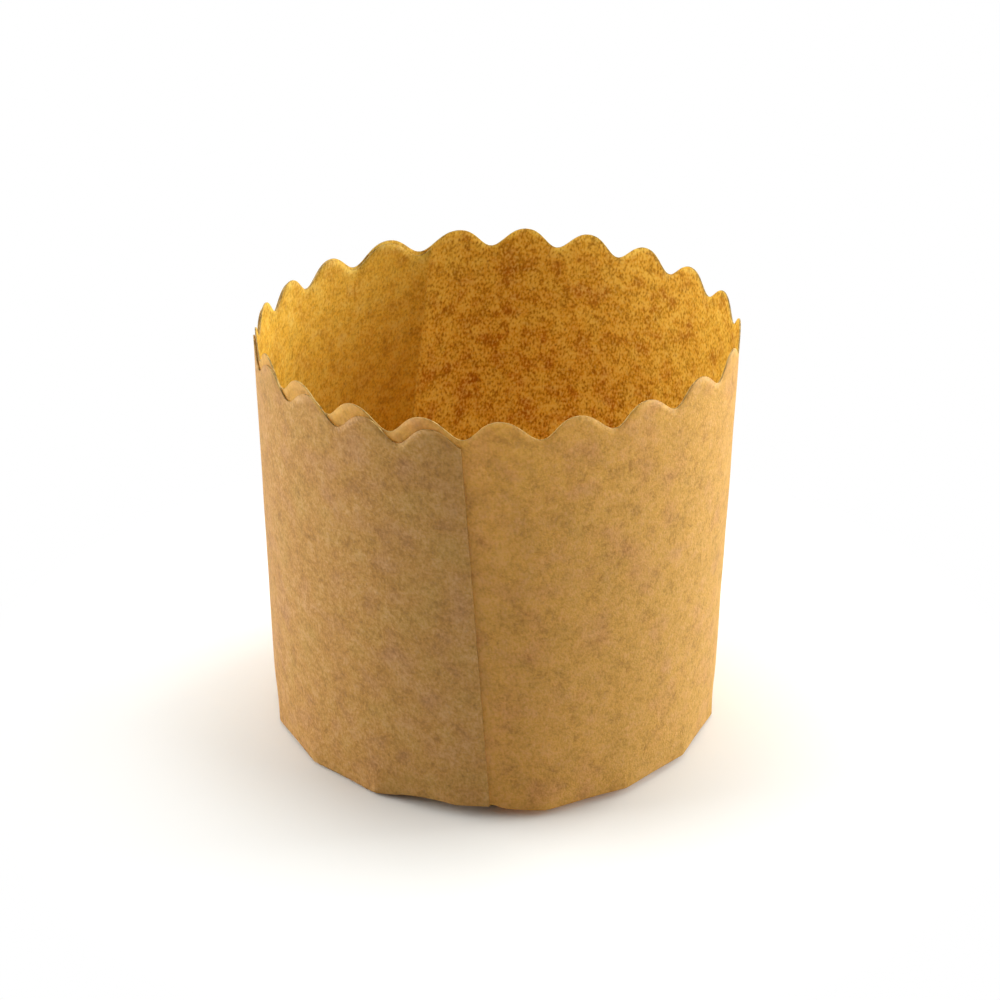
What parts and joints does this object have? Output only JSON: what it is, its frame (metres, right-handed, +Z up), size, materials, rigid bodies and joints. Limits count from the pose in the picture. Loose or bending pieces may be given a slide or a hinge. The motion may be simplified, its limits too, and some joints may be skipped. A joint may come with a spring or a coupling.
{
  "type": "panettone paper mold",
  "caption": "Straight-sided brown paper baking cup: a strip rolled into a slightly tapered wall with a scalloped rim and a pleated hem folded under a round base.",
  "frame": {"origin": "centre of the foot, on the surface that the mold stands on", "axes": "+Z up the wall's centre line to the open rim, -Y towards the front, where the strip's outer end lies"},
  "size_m": [0.0696, 0.0707, 0.0623],
  "materials": {
    "kraft_baking_paper": "matte",
    "base_paper": "matte"
  },
  "bodies": {
    "root": {"side_wall": "kraft_baking_paper", "base_disc": "base_paper"}
  },
  "joints": []
}
